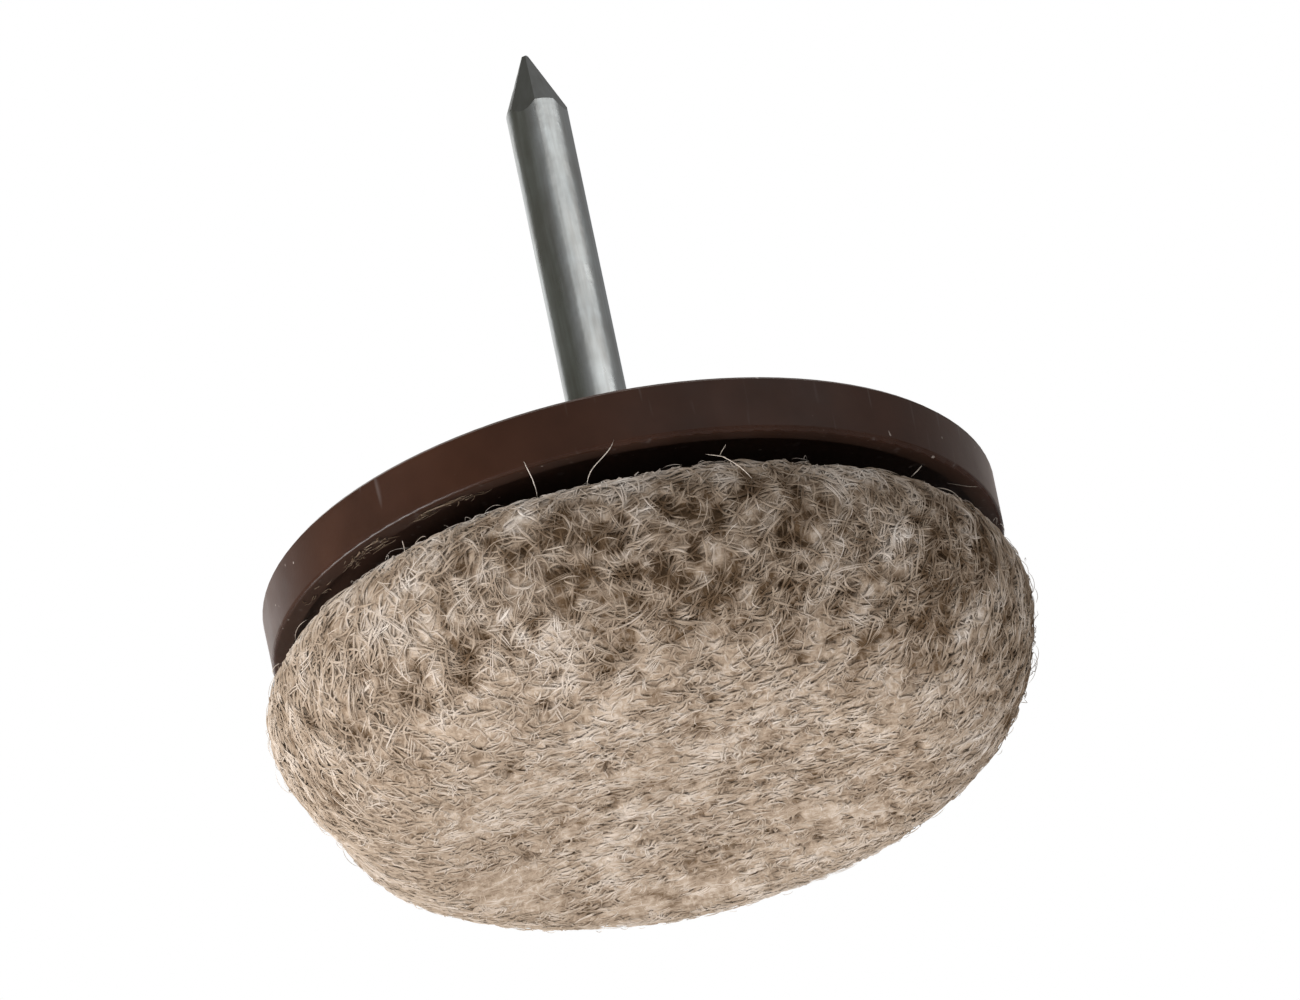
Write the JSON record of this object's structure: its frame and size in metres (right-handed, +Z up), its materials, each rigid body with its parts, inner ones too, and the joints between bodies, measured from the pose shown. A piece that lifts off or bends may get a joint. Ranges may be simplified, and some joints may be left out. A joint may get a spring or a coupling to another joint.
{
  "type": "nail-on furniture glide",
  "caption": "Round nail-on glide for a chair or table leg: a thick wool felt pad in a shallow brown plastic cup, carried by a steel nail.",
  "frame": {"origin": "centre of the felt's flat floor face, on which the glide stands", "axes": "+Z up along the nail, towards the furniture leg; X and Y lie in the floor face"},
  "size_m": [0.0264, 0.0264, 0.0295],
  "materials": {
    "brown_plastic": "satin moulded plastic, faintly scuffed",
    "steel": "bright drawn wire, a little dulled",
    "wool_felt": "loose oatmeal wool felt with curly fibres"
  },
  "bodies": {
    "root": {"cup": "brown_plastic", "nail": "steel", "felt_pad": "wool_felt"}
  },
  "joints": []
}
